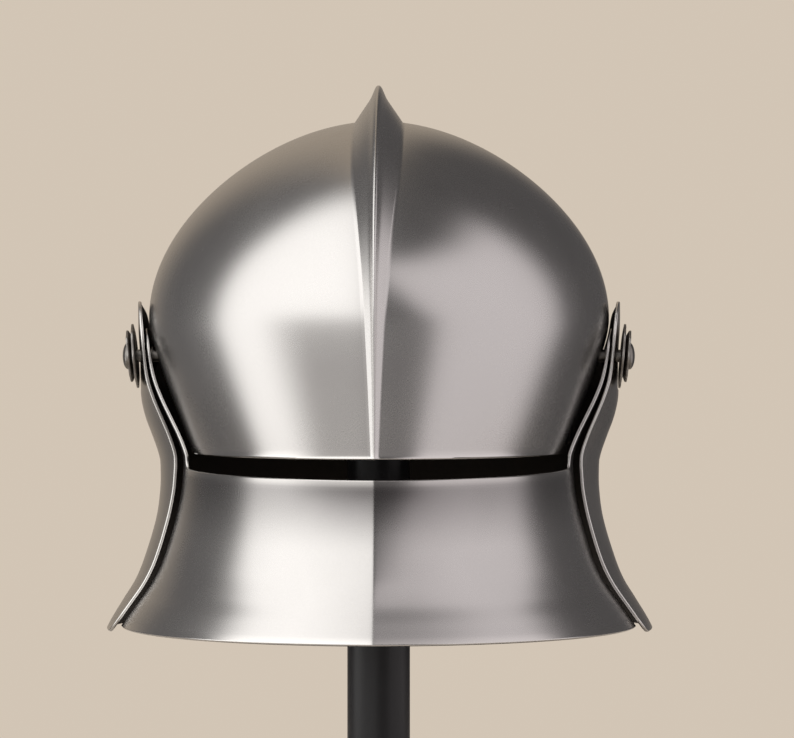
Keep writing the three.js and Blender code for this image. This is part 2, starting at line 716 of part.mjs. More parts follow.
addPiece("skull", geometryFromSolid(skullSolid), polishedSteel());
addPiece("visor", geometryFromSolid(visorSolid), polishedSteel());
addPiece("tail", geometryFromSolid(tailSolid), polishedSteel());
for (const [word, side] of [["left", -1], ["right", 1]]) {
  const large = rosetteGeometry(LARGE_ROSETTE_RADIUS, LARGE_ROSETTE_DISH, largeFace, side);
  const small = rosetteGeometry(SMALL_ROSETTE_RADIUS, SMALL_ROSETTE_DISH, smallFace, side);
  addPiece(`${word}_large_rosette`, large, darkSteel());
  addPiece(`${word}_small_rosette`, small, darkSteel());
  addPiece(`${word}_pivot_rivet`, rivetGeometry(side), darkSteel());
}
addPiece("stand_base", baseGeometry(), blackPaint());
addPiece("stand_post", postGeometry(), blackPaint());
addPiece("stand_cap", capGeometry(), blackPaint());

export default sallet;
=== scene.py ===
import math

import bpy
import numpy as np
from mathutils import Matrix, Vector


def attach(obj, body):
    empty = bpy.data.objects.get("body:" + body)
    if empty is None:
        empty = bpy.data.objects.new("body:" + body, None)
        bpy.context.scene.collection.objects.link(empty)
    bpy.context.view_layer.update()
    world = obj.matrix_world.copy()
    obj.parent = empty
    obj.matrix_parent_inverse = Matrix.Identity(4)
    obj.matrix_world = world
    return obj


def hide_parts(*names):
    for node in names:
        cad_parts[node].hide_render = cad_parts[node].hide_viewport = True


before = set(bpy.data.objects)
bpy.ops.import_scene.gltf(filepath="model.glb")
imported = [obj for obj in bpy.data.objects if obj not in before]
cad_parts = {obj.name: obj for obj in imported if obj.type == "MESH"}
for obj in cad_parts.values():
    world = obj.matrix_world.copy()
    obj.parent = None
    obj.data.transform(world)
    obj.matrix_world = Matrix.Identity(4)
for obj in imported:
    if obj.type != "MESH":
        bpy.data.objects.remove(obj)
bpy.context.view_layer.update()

# Camera: it stands 2.4 m in front of the face, a little to the right of the crease and
# a little above the brow, with a long lens that nearly flattens the view.
eye = Vector((0.0402, -2.3998, 0.294))
aim = Vector((0.0088, 0.0, 0.2323))
camera = bpy.data.objects.new("camera", bpy.data.cameras.new("camera"))
camera.location = eye
camera.rotation_euler = (aim - eye).to_track_quat("-Z", "Y").to_euler()
camera.data.sensor_width = 36
camera.data.lens = 227.6
bpy.context.collection.objects.link(camera)
bpy.context.scene.camera = camera


# The bowl is one plate of 1.6 mm steel, raised to an egg-shaped dome with a tall keel
# hammered up along its middle, then ground and satin polished outside and left dark inside,
# where its near-black colour is partly painted shade.
# Lengths are in millimetres until a mesh is made.
MM = 0.001
PLATE = 1.6
RIM_BULGE, RIM_RINGS, BRIGHT_RIM_REACH = 0.55, 5, 2.2
BROW_Z = 191.9
WIDEST_Z = 256.2
CROWN_RISE = 94.8
BOWL_HALF, BOWL_FRONT, BOWL_BACK, BOWL_SETBACK = 110.6, 125.4, 137.0, 18.0
BROW_HALF, BROW_FRONT, NAPE_BACK, BROW_LIFT = 89.8, 120.5, 118.0, 2
FRONT_NARROWING, BACK_NARROWING, FALL_SOFTNESS = 0.14, 0.02, 0.18
KEEL_HEIGHT, KEEL_HALF, CREST_SOFTNESS = 17.2, 11.5, 0.05
BROW_RIDGE, RIDGE_SOFTNESS = 4.0, 0.007
LIP, LIP_WIDTH, LIP_END, LIP_FADE = 0.42, 1.0, 84, 20
BEYOND_BOWL = 240.0

# Shares of the keel's height and width, from the brow over the crown to the nape
keel_sections = [
    (0.00, 0.09, 0.14), (0.08, 0.18, 0.26), (0.17, 0.36, 0.46), (0.24, 0.50, 0.70),
    (0.30, 0.64, 0.88), (0.40, 0.88, 0.98), (0.50, 1.00, 1.00), (0.62, 0.90, 1.00),
    (0.76, 0.52, 0.80), (0.86, 0.18, 0.45), (0.92, 0.06, 0.24), (1.00, 0.03, 0.14),
]
keel_profile = [(0.0, 1.0), (0.12, 0.94), (0.3, 0.66), (0.5, 0.46), (0.75, 0.23), (1.0, 0.0)]


def along(rows, column, place):
    """A smooth curve through one column of a table whose first column is the place."""
    places = np.array([row[0] for row in rows])
    values = np.array([row[column] for row in rows])
    last = len(rows) - 1
    before = np.maximum(np.arange(last + 1) - 1, 0)
    after = np.minimum(np.arange(last + 1) + 1, last)
    slopes = (values[after] - values[before]) / (places[after] - places[before])
    place = np.clip(np.asarray(place, float), places[0], places[-1])
    i = np.clip(np.searchsorted(places, place, side="left") - 1, 0, last - 1)
    span = places[i + 1] - places[i]
    t = (place - places[i]) / span
    rest = 1 - t
    start = values[i] * (1 + 2 * t) * rest**2 + slopes[i] * span * t * rest**2
    return start + values[i + 1] * (3 - 2 * t) * t**2 - slopes[i + 1] * span * t**2 * rest


def bowl_fall(z):
    """How far the bowl has drawn in below its widest line: 0 there and 1 at the brow."""
    depth = (WIDEST_Z - z) / (WIDEST_Z - BROW_Z)
    soft = FALL_SOFTNESS
    return (np.hypot(depth, soft) - soft) / (math.hypot(1, soft) - soft)


def within_bowl(point, shrink):
    """Whether points lie inside the bowl without its keel, drawn in by a thickness."""
    x, y, z = point[..., 0], point[..., 1], point[..., 2]
    rise = (z - WIDEST_Z) / (CROWN_RISE - shrink)
    capped = np.clip(rise, 0, 1)
    dome = np.sqrt(1 - capped**2)
    front_dome = dome * (1 - FRONT_NARROWING * capped**2)
    back_dome = dome * (1 - BACK_NARROWING * capped**2)
    fall = bowl_fall(np.minimum(z, WIDEST_Z))

    def reach(widest, lowest, narrowed):
        above = (widest - shrink) * narrowed
        return np.where(rise >= 0, above, widest + (lowest - widest) * fall - shrink)

    half = reach(BOWL_HALF, BROW_HALF, front_dome)
    front = reach(BOWL_FRONT, BROW_FRONT, front_dome)
    back = reach(BOWL_BACK, NAPE_BACK, back_dome)
    share = np.minimum(np.abs(x) / np.maximum(half, 1e-6), 1)
    behind = y - BOWL_SETBACK
    ahead = behind < 0
    length = np.where(ahead, front - BROW_RIDGE + BOWL_SETBACK, back - BOWL_SETBACK)
    soft = np.minimum(np.hypot(share, RIDGE_SOFTNESS), 1)
    ridge = np.where(ahead, BROW_RIDGE * (1 - soft), 0)
    past = np.maximum(np.abs(behind) - ridge, 0) / np.maximum(length, 1e-6)
    return (rise < 1) & (share**2 + past**2 < 1)


bowl_centre = np.array([0.0, BOWL_SETBACK / 2, BROW_Z])


def bowl_surface(direction, shrink):
    """Where directions from the bowl's centre meet its surface, found by halving."""
    near = np.zeros(direction.shape[:-1])
    far = np.full(direction.shape[:-1], BEYOND_BOWL)
    for _ in range(36):
        middle = (near + far) / 2
        inside = within_bowl(bowl_centre + direction * middle[..., None], shrink)
        near = np.where(inside, middle, near)
        far = np.where(inside, far, middle)
    return bowl_centre + direction * near[..., None]


def fan(angle, lean):
    """Directions from the bowl's centre: an angle over the crown, and a lean to the side."""
    level, upward = np.cos(angle) * np.cos(lean), np.sin(angle) * np.cos(lean)
    return np.stack([np.sin(lean), -level, upward], -1)


def bowl_sheet(places, keel_shares, side_shares, shrink):
    """Rows of points from the right temple over the middle to the left, one row to a fan angle."""
    first_angle = math.atan(BROW_LIFT / BROW_FRONT)
    angle = first_angle + (math.pi - first_angle) * places
    outward = fan(angle, np.zeros_like(angle))
    middle = np.linalg.norm(bowl_surface(outward, shrink) - bowl_centre, axis=-1)
    keel_half = KEEL_HALF * along(keel_sections, 2, places) - shrink / 2
    keel_rise = KEEL_HEIGHT * along(keel_sections, 1, places)
    keel_lean = np.arctan(keel_half / middle)
    lean_keel = keel_lean[:, None] * keel_shares
    lean_side = keel_lean[:, None] + (math.pi / 2 - keel_lean[:, None]) * side_shares
    lean = np.concatenate([lean_keel, lean_side], 1)
    crest = along(keel_profile, 1, np.minimum(np.hypot(keel_shares, CREST_SOFTNESS), 1))
    crest = np.concatenate([crest, np.zeros(len(side_shares))])
    points = bowl_surface(fan(np.broadcast_to(angle[:, None], lean.shape), lean), shrink)
    points = points + outward[:, None] * (keel_rise[:, None] * crest)[..., None]
    ahead = np.maximum(bowl_centre[1] - points[..., 1], 0)
    rim_line = BROW_Z + BROW_LIFT * ahead / (BROW_FRONT + bowl_centre[1])
    lip = LIP * np.exp(-(((points[..., 2] - rim_line) / LIP_WIDTH) ** 2))
    lip = lip * np.clip((LIP_END - np.abs(points[..., 0])) / LIP_FADE, 0, 1)
    away = points[..., :2] - [0, BOWL_SETBACK]
    points[..., :2] += away / np.linalg.norm(away, axis=-1)[..., None] * lip[..., None]
    mirrored = points[:, :0:-1] * [-1, 1, 1]
    return np.concatenate([mirrored, points], 1)


def grid_faces(rows, columns):
    return [
        (r * columns + c, r * columns + c + 1, (r + 1) * columns + c + 1, (r + 1) * columns + c)
        for r in range(rows - 1)
        for c in range(columns - 1)
    ]


def joined(points, faces):
    """Makes one point of the points that share a place, and drops what that flattens."""
    keys = np.round(points * 2000).astype(np.int64)
    _, first, index = np.unique(keys, axis=0, return_index=True, return_inverse=True)
    index = index.ravel()
    kept = []
    for face in faces:
        ring = [int(index[i]) for i in face]
        ring = [a for a, b in zip(ring, ring[1:] + ring[:1]) if a != b]
        if len(set(ring)) == len(ring) > 2:
            kept.append(ring)
    return points[first], kept, index


def corner_normals(points, faces):
    """The unit normal at each point, from the triangles and quads round it."""
    normals = np.zeros_like(points)
    for size in (3, 4):
        some = np.array([f for f in faces if len(f) == size])
        if len(some):
            first, second, third, last = (points[some[:, i]] for i in (0, 1, 2, size - 1))
            if size == 4:
                weight = np.cross(third - first, last - second)
            else:
                weight = np.cross(second - first, third - second)
            for corner in range(size):
                np.add.at(normals, some[:, corner], weight)
    return normals / np.maximum(np.linalg.norm(normals, axis=1), 1e-12)[:, None]


def mesh_object(name, points, faces, materials, shades=None, sharp=(), edge=None):
    mesh = bpy.data.meshes.new(name)
    mesh.from_pydata((np.asarray(points) * MM).tolist(), [], faces)
    for material in materials:
        mesh.materials.append(material)
    if shades is not None:
        mesh.polygons.foreach_set("material_index", shades)
    mesh.polygons.foreach_set("use_smooth", [True] * len(mesh.polygons))
    if sharp:
        for line in mesh.edges:
            if tuple(sorted(line.vertices)) in sharp:
                line.use_edge_sharp = True
    if edge is not None:
        mesh.attributes.new("edge", "FLOAT", "POINT").data.foreach_set("value", edge)
    mesh.validate()
    made = bpy.data.objects.new(name, mesh)
    bpy.context.collection.objects.link(made)
    return made


def plate_object(name, outer, faces, inner, materials):
    """A plate with a rounded rim: the outer sheet, the inner sheet, and a bead between them."""
    normals = corner_normals(outer, faces)
    if inner is None:
        inner = outer - normals * PLATE
    sides = dict.fromkeys(pair for face in faces for pair in zip(face, face[1:] + face[:1]))
    open_edges = [(a, b) for a, b in sides if (b, a) not in sides]
    away = np.zeros_like(outer)
    for a, b in open_edges:
        line = outer[b] - outer[a]
        side = np.cross(line, normals[a] + normals[b])
        side /= max(np.linalg.norm(side), 1e-9)
        away[a] += side
        away[b] += side
    rim = sorted({a for pair in open_edges for a in pair})
    away[rim] /= np.maximum(np.linalg.norm(away[rim], axis=1), 1e-9)[:, None]
    outer, inner = outer.copy(), inner.copy()
    outer[rim] -= away[rim] * RIM_BULGE
    inner[rim] -= away[rim] * RIM_BULGE
    size = len(outer)
    middle = (outer[rim] + inner[rim]) / 2
    arm = (outer[rim] - inner[rim]) / 2
    beads = [
        middle + arm * math.cos(turn) + away[rim] * RIM_BULGE * math.sin(turn)
        for turn in (math.pi * k / (RIM_RINGS + 1) for k in range(1, RIM_RINGS + 1))
    ]
    place = {v: i for i, v in enumerate(rim)}

    def ring_vertex(v, k):
        if k == 0:
            return v
        return size + v if k == RIM_RINGS + 1 else 2 * size + (k - 1) * len(rim) + place[v]

    built = [list(f) for f in faces] + [[size + i for i in reversed(f)] for f in faces]
    shades = [0] * len(faces) + [1] * len(faces)
    for a, b in open_edges:
        for k in range(RIM_RINGS + 1):
            corners = ((b, k), (a, k), (a, k + 1), (b, k + 1))
            built.append([ring_vertex(v, ring) for v, ring in corners])
            shades.append(0)
    points = np.concatenate([outer, inner, *beads])
    # The edge attribute is 1 at the rim and fades inwards. The steel finishes use it to make the
    # rims paler, partly as rubbed wear and partly as a painted highlight.
    near_rim = np.full(len(points), 1.0)
    lines, at_once = outer[rim], 2000
    for start in range(0, size, at_once):
        chunk = outer[start:start + at_once]
        gap = np.sqrt(((chunk[:, None] - lines[None]) ** 2).sum(-1).min(1))
        near_rim[start:start + len(chunk)] = np.exp(-((gap / BRIGHT_RIM_REACH) ** 2))
    near_rim[size:2 * size] = near_rim[:size]
    sharp = {tuple(sorted((a + sheet, b + sheet))) for a, b in open_edges for sheet in (0, size)}
    return mesh_object(name, points, built, materials, shades, sharp, near_rim)


class Wire:
    """A socket of a node tree that takes part in sums as a number does."""

    def __init__(self, socket):
        self.socket = socket

    @staticmethod
    def node(tree, kind, settings=None, sockets=None, output=0):
        made = tree.nodes.new(kind)
        for name, value in (settings or {}).items():
            setattr(made, name, value)
        for name, value in (sockets or {}).items():
            if isinstance(value, Wire):
                tree.links.new(value.socket, made.inputs[name])
            else:
                made.inputs[name].default_value = value
        return Wire(made.outputs[output]) if made.outputs else None

    def maths(self, operation, other=None, flipped=False):
        first, second = (other, self) if flipped else (self, other)
        sockets = {0: first} if other is None else {0: first, 1: second}
        return Wire.node(self.socket.id_data, "ShaderNodeMath", {"operation": operation}, sockets)

    def __add__(self, other):
        return self.maths("ADD", other)

    def __radd__(self, other):
        return self.maths("ADD", other, True)

    def __sub__(self, other):
        return self.maths("SUBTRACT", other)

    def __rsub__(self, other):
        return self.maths("SUBTRACT", other, True)

    def __mul__(self, other):
        return self.maths("MULTIPLY", other)

    def __rmul__(self, other):
        return self.maths("MULTIPLY", other, True)


def new_finish(name):
    made = bpy.data.materials.new(name)
    made.use_nodes = True
    made.node_tree.nodes.clear()
    return made, made.node_tree


def noise(tree, where, scale, detail=2.0, roughness=0.5):
    sockets = {"Vector": where, "Scale": scale, "Detail": detail, "Roughness": roughness}
    return Wire.node(tree, "ShaderNodeTexNoise", {}, sockets)


def blend(tree, factor, first, second):
    sockets = {0: factor, 6: first, 7: second}
    return Wire.node(tree, "ShaderNodeMix", {"data_type": "RGBA"}, sockets, 2)


def eased_between(tree, value, low, high):
    """0 below low and 1 above high, with a smooth passage."""
    sockets = {"Value": value, "From Min": low, "From Max": high}
    return Wire.node(tree, "ShaderNodeMapRange", {"interpolation_type": "SMOOTHSTEP"}, sockets)


def steel_finish(name, colour, shadow, roughness, top_shade=False):
    """Satin steel: cloudy polish, faint hammer waves, fine brushing, and rims paler, partly as
    rubbed wear and partly as a painted highlight. The visor has a band of painted shade below its
    upper edge and along its crease."""
    made, tree = new_finish(name)
    where = Wire.node(tree, "ShaderNodeTexCoord", {}, {}, "Object")
    clouds = noise(tree, where, 16, 3.0, 0.55)
    hammer = noise(tree, where, 26, 1.0, 0.4)
    brushing = noise(tree, where, 900, 3.0, 0.6)
    specks = noise(tree, where, 2400, 1.0, 0.5)
    edge = Wire.node(tree, "ShaderNodeAttribute", {"attribute_name": "edge"}, {}, "Fac")
    tone = (clouds - 0.5) * 0.8 + (brushing - 0.5) * 0.35 + 0.5
    tint = blend(tree, tone, (*shadow, 1), (*colour, 1))
    # The visor's band of painted shade: darker below the upper edge and along the crease, deepest
    # where they meet, with a little random cloud in it.
    if top_shade:
        upper_start, upper_end, crease_start, crease_end = 0.150, 0.183, 0.003, 0.046
        apart = tree.nodes.new("ShaderNodeSeparateXYZ")
        tree.links.new(where.socket, apart.inputs[0])
        across, high = Wire(apart.outputs[0]).maths("ABSOLUTE"), Wire(apart.outputs[2])
        upper = eased_between(tree, high, upper_start, upper_end) * 0.62
        crease = 1 - eased_between(tree, across, crease_start, crease_end)
        crease = crease * (0.16 + upper * 0.35)
        top_shade_mask = upper + crease + (clouds - 0.5) * 0.3
        # The dark colour of the painted shade.
        tint = blend(tree, top_shade_mask, tint, (0.17, 0.16, 0.16, 1))
    # Rims paler: partly rubbed wear, partly a painted highlight along the rims.
    rims_worn_and_highlit = blend(tree, edge * 0.55, tint, (0.86, 0.84, 0.81, 1))
    rough = roughness + (clouds - 0.5) * 0.10 + (specks - 0.5) * 0.05 - edge * 0.06
    height = hammer * 0.10 + brushing * 0.0035 + specks * 0.0012
    relief = Wire.node(
        tree, "ShaderNodeBump", {}, {"Strength": 1.0, "Distance": 0.001, "Height": height}
    )
    steel = Wire.node(
        tree, "ShaderNodeBsdfPrincipled", {},
        {"Base Color": rims_worn_and_highlit, "Metallic": 1.0, "Roughness": rough, "Normal": relief},
    )
    Wire.node(tree, "ShaderNodeOutputMaterial", {}, {"Surface": steel})
    return made


def dark_finish(name, colour, roughness):
    """The unpolished inner face: forge scale and old oil, made nearly black as painted shade."""
    made, tree = new_finish(name)
    where = Wire.node(tree, "ShaderNodeTexCoord", {}, {}, "Object")
    scale_marks = noise(tree, where, 70, 4.0, 0.6)
    grain = noise(tree, where, 900, 2.0, 0.5)
    rust = tuple(min(1, c * f) for c, f in zip(colour, (2.4, 1.9, 1.6)))
    tint = blend(tree, scale_marks, (*colour, 1), (*rust, 1))
    rough = roughness + scale_marks * 0.1
    relief = Wire.node(
        tree, "ShaderNodeBump", {},
        {"Strength": 0.5, "Distance": 0.0002, "Height": scale_marks + grain * 0.3},
    )
    surface = Wire.node(
        tree, "ShaderNodeBsdfPrincipled", {},
        {"Base Color": tint, "Metallic": 0.6, "Roughness": rough, "Normal": relief},
    )
    Wire.node(tree, "ShaderNodeOutputMaterial", {}, {"Surface": surface})
    return made


plate_tones = ((0.70, 0.685, 0.67), (0.60, 0.585, 0.57), 0.27)
polished_bowl = steel_finish("polished_bowl", *plate_tones)
# Nearly black inside: scale and oil, and partly painted shade.
scaled_inside_painted_dark = dark_finish("scaled_inside_painted_dark", (0.012, 0.011, 0.010), 0.62)

fan_places = np.concatenate([[0, 0.0015, 0.003, 0.0046], np.linspace(0, 1, 161)[1:]])
keel_shares = np.array([
    0, 0.03, 0.06, 0.1, 0.15, 0.21, 0.3, 0.4, 0.5, 0.6, 0.7, 0.8, 0.9, 0.965, 1.0,
])
side_shares = np.concatenate([[0.007], np.linspace(0, 1, 65)[1:]])
outer_rows = bowl_sheet(fan_places, keel_shares, side_shares, 0)
inner_rows = bowl_sheet(fan_places, keel_shares, side_shares, PLATE)
bowl_grid = grid_faces(*outer_rows.shape[:2])
bowl_outer, bowl_faces, bowl_index = joined(outer_rows.reshape(-1, 3), bowl_grid)
bowl_inner = np.zeros_like(bowl_outer)
bowl_inner[bowl_index] = inner_rows.reshape(-1, 3)
bowl = plate_object(
    "bowl_plate", bowl_outer, bowl_faces, bowl_inner, [polished_bowl, scaled_inside_painted_dark]
)
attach(bowl, "helmet")
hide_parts("skull")


# The visor is a bent plate with a sharp crease down its middle, flared to the rim below, and
# with an arm at each side that runs up between the bowl and the tail to a pivot at the temple.
PIVOT_Z = 238.6
RIM_Z = 109.6
WAIST_Z = 187.0
VISOR_TOP_Z = 185.7
SHANK_HOLE = 3.5
ARM_STANDOFF, WAIST_STANDOFF, SIDE_FLARE = 4.9, 4.6, 29.8
FRONT_STANDOFF, FRONT_FLARE = 7.5, 24
BOWL_FACE = BOWL_HALF + (BROW_HALF - BOWL_HALF) * float(bowl_fall(PIVOT_Z))
PIVOT_HALF = BOWL_FACE + ARM_STANDOFF
WAIST_HALF = BROW_HALF + WAIST_STANDOFF
RIM_HALF = WAIST_HALF + SIDE_FLARE
VISOR_WAIST = BROW_FRONT + FRONT_STANDOFF
VISOR_RIM = VISOR_WAIST + FRONT_FLARE
VISOR_CREASE, CREASE_SOFTNESS, VISOR_SETBACK = 15.0, 0.006, 20.0
VISOR_ROUND = 2.2
VISOR_POWER = 2 / VISOR_ROUND
FOOT_FRONT, FOOT_REAR, FOOT_CORNER, TIP_RADIUS = -26.0, -6.0, 4, 13
RIM_RISE, RIM_RUN, TOP_DIP, TOP_RUN = 2.6, 166, 0.9, 146
TIP_FILED, FILED_RUN = 0.22, 6
TAIL_BACK, TAIL_FLARE, TAIL_BULGE = 137.2, 61, 10.2

# Flare below the waist and spread of the arms above it, as shares
flare_rows = [
    (0.00, 0.000, 0.00, 0.92), (0.16, 0.035, 0.05, 0.82), (0.35, 0.140, 0.17, 0.70),
    (0.60, 0.345, 0.40, 0.66), (0.74, 0.530, 0.58, 0.55), (0.86, 0.750, 0.77, 0.47),
    (1.00, 1.000, 1.00, 0.38), (1.14, 1.200, 1.18, 0.30),
]
arm_rows = [
    (0.00, 0.00, 0.92), (0.10, 0.03, 1.00), (0.26, 0.20, 1.00), (0.42, 0.42, 0.92),
    (0.60, 0.67, 0.68), (0.78, 0.87, 0.34), (1.00, 1.00, 0.08), (1.30, 1.06, 0.05),
    (1.60, 1.06, 0.04),
]


def side_line(z):
    """Half width, front, back and the tail's bulge at a height."""
    down = (WAIST_Z - z) / (WAIST_Z - RIM_Z)
    up = (z - WAIST_Z) / (PIVOT_Z - WAIST_Z)
    below = z < WAIST_Z
    flare = along(flare_rows, 1, down)
    low_half = WAIST_HALF + (RIM_HALF - WAIST_HALF) * flare
    high_half = WAIST_HALF + (PIVOT_HALF - WAIST_HALF) * along(arm_rows, 1, up)
    half = np.where(below, low_half, high_half)
    front = np.where(below, VISOR_WAIST + (VISOR_RIM - VISOR_WAIST) * flare, VISOR_WAIST)
    back = np.where(below, TAIL_BACK + TAIL_FLARE * along(flare_rows, 2, down), TAIL_BACK)
    bulge = TAIL_BULGE * np.where(below, along(flare_rows, 3, down), along(arm_rows, 2, up))
    return half, front, back, bulge


def visor_at(turn, z):
    """The x and y of the visor's face, with turn from 0 at the crease to 1 at the side."""
    half, front, _, _ = side_line(z)
    angle = np.clip(turn, 0, 1) * math.pi / 2
    share = np.sin(angle) ** VISOR_POWER
    reach = front - VISOR_CREASE + VISOR_SETBACK
    reach = reach * np.maximum(np.cos(angle), 0) ** VISOR_POWER
    crease = VISOR_CREASE * (1 - np.minimum(np.hypot(share, CREASE_SOFTNESS), 1))
    return half * share, VISOR_SETBACK - reach - crease


def visor_turn(y, z):
    """The turn at which the visor's face has a y, found by halving."""
    low, high = np.zeros(np.broadcast(y, z).shape), np.ones(np.broadcast(y, z).shape)
    for _ in range(30):
        middle = (low + high) / 2
        short = visor_at(middle, z)[1] < y
        low, high = np.where(short, middle, low), np.where(short, high, middle)
    return (low + high) / 2


def visor_point(y, z):
    return np.stack([visor_at(visor_turn(y, z), z)[0], np.broadcast_to(y, z.shape), z], -1)


def bent(handles, z):
    """The y of a quadratic curve of (y, z) handles at a height."""
    t = np.linspace(0, 1, 400)[:, None]
    p0, p1, p2 = (np.array(handle) for handle in handles)
    path = p0 * (1 - t) ** 2 + 2 * p1 * t * (1 - t) + p2 * t**2
    return np.interp(z, path[:, 1], path[:, 0])


def lug(loop, rings):
    """Rings of (y, z) points from a closed outline in to the pivot's hole."""
    loop = np.asarray(loop, float)
    centre = np.array([0.0, PIVOT_Z])
    towards = loop - centre
    hole = centre + towards / np.linalg.norm(towards, axis=1)[:, None] * SHANK_HOLE
    shares = np.linspace(0, 1, rings + 1)[:, None, None]
    points = (loop[None] * (1 - shares) + hole[None] * shares).reshape(-1, 2)
    turns = len(loop)
    faces = [
        (r * turns + i, r * turns + (i + 1) % turns,
         (r + 1) * turns + (i + 1) % turns, (r + 1) * turns + i)
        for r in range(rings)
        for i in range(turns)
    ]
    return points, faces


def two_sided(patches):
    """Joins patches of the right half, turns their faces outwards and mirrors them to the left."""
    points, faces, offset = [], [], 0
    for patch, quads in patches:
        points.append(patch)
        faces += [tuple(i + offset for i in quad) for quad in quads]
        offset += len(patch)
    right = np.concatenate(points)
    outward = []
    for quad in faces:
        a, b, c, d = right[list(quad)]
        normal = np.cross(c - a, d - b)
        centre = (a + b + c + d) / 4 - [0, VISOR_SETBACK, 0]
        outward.append(quad if normal[0] * centre[0] + normal[1] * centre[1] > 0 else quad[::-1])
    left = [tuple(i + offset for i in quad[::-1]) for quad in outward]
    return joined(np.concatenate([right, right * [-1, 1, 1]]), outward + left)[:2]


crease_shares = [0, 0.002, 0.005, 0.009, 0.015, 0.025, 0.04]
front_shares = np.concatenate([crease_shares, np.linspace(0.06, 1, 56)])
front_columns = len(front_shares)
side_steps = np.linspace(0, 1, 9)[1:]
panel_rows = np.linspace(0, 1, 43)
panel_shape = (len(panel_rows), front_columns + len(side_steps))
panel_z = np.broadcast_to(RIM_Z + (VISOR_TOP_Z - RIM_Z) * panel_rows[:, None], panel_shape)
for _ in range(3):
    foot_turn = visor_turn(np.full(panel_shape, FOOT_FRONT), panel_z)
    side_places = FOOT_FRONT + (FOOT_REAR - FOOT_FRONT) * side_steps[None]
    panel_turn = np.concatenate([
        foot_turn[:, :front_columns] * front_shares,
        visor_turn(side_places, panel_z[:, front_columns:]),
    ], 1)
    panel_y = visor_at(panel_turn, panel_z)[1]
    low = RIM_Z + RIM_RISE * np.clip((FOOT_REAR - panel_y) / RIM_RUN, 0, 1)
    high = VISOR_TOP_Z - TOP_DIP * np.clip((FOOT_FRONT - panel_y) / TOP_RUN, 0, 1)
    panel_z = low + (high - low) * panel_rows[:, None]
panel = np.stack([*visor_at(panel_turn, panel_z), panel_z], -1)

arm_top_z = PIVOT_Z - TIP_RADIUS
corner_z = VISOR_TOP_Z + FOOT_CORNER
corner_y = FOOT_FRONT + FOOT_CORNER
corner_steps = np.array([0, 0.25, 0.5, 0.75, 1.0])
arm_heights = np.concatenate([
    VISOR_TOP_Z + FOOT_CORNER * corner_steps**2,
    np.linspace(corner_z, arm_top_z, 19)[1:],
])
front_curve = [(corner_y, BROW_Z), (-TIP_RADIUS, arm_top_z), (-TIP_RADIUS, PIVOT_Z)]
rear_curve = [(FOOT_REAR, VISOR_TOP_Z), (FOOT_REAR, arm_top_z), (TIP_RADIUS, PIVOT_Z)]
corner = [(FOOT_FRONT, VISOR_TOP_Z), (corner_y, VISOR_TOP_Z), (corner_y, corner_z)]
corner_front, curve_front = bent(corner, arm_heights), bent(front_curve, arm_heights)
arm_front = np.where(arm_heights < corner_z, corner_front, curve_front)
arm_rear = bent(rear_curve, arm_heights)
arm_y = arm_front[:, None] + (arm_rear - arm_front)[:, None] * np.linspace(0, 1, 9)
arm = visor_point(arm_y, np.broadcast_to(arm_heights[:, None], arm_y.shape))

rise = np.linspace(arm_top_z, PIVOT_Z, 6)
arc = np.linspace(0, math.pi, 19)
tip_loop = [(y, arm_top_z) for y in arm_y[-1]]
tip_loop += [(float(bent(rear_curve, h)), h) for h in rise[1:]]
tip_loop += [(TIP_RADIUS * math.cos(a), PIVOT_Z + TIP_RADIUS * math.sin(a)) for a in arc[1:]]
tip_loop += [(float(bent(front_curve, h)), h) for h in rise[-2:0:-1]]
tip, tip_faces = lug(tip_loop, 5)
visor_patches = [
    (panel.reshape(-1, 3), grid_faces(*panel.shape[:2])),
    (arm.reshape(-1, 3), grid_faces(*arm.shape[:2])),
    (visor_point(tip[:, 0], tip[:, 1]), tip_faces),
]
# True gives the visor its band of painted shade below the upper edge and along the crease.
polished_visor = steel_finish("polished_visor", *plate_tones, True)
visor_outer, visor_faces = two_sided(visor_patches)

# The tips of the arms are filed a little thinner inside, so that they pass the bowl when lifted
filed = TIP_FILED * np.clip((visor_outer[:, 2] - PIVOT_Z + FILED_RUN) / FILED_RUN, 0, 1)
visor_inner = visor_outer - corner_normals(visor_outer, visor_faces) * (PLATE - filed)[:, None]
visor = plate_object(
    "visor_plate", visor_outer, visor_faces, visor_inner, [polished_visor, scaled_inside_painted_dark]
)
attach(visor, "visor")
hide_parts("visor")


# The tail is a bent plate that wraps the nape and both sides, flared below to guard the neck,
# with an ear at each side that rises outside the visor's arm to carry the same pivot.
TAIL_Z = 107.2
TAIL_TOP_Z = RIM_Z + 127
NAPE_DIP, NAPE_RUN, TAIL_CORNER = 6, 210, 9
EAR_RADIUS, EAR_FRONT, EAR_ABOVE_PIVOT = 20, -12, 26
EAR_Z = PIVOT_Z + EAR_ABOVE_PIVOT - EAR_RADIUS
EAR_BACK = 2 * EAR_RADIUS + EAR_FRONT
EAR_FOOT_Z = PIVOT_Z - 15
SIDE_END = 36
SWEEP_START, SWEEP_HANDLE, EAR_HANDLE = 72, 44, 7.5
ARM_GAP, TUCK_CLEARANCE, TUCK_START, TUCK_END, TUCK_DROP = 1, 0.8, 14, 26, 18


def eased(value, low, high):
    """0 below low and 1 above high, with a smooth passage, for plain numbers."""
    share = np.clip((value - low) / (high - low), 0, 1)
    return share * share * (3 - 2 * share)


def bowl_half(z):
    """The bowl's half width at a height, outside."""
    rise = np.clip((z - WIDEST_Z) / CROWN_RISE, 0, 1)
    dome = BOWL_HALF * np.sqrt(1 - rise**2) * (1 - FRONT_NARROWING * rise**2)
    below = BOWL_HALF + (BROW_HALF - BOWL_HALF) * bowl_fall(np.minimum(z, WIDEST_Z))
    return np.where(z > WIDEST_Z, dome, below)


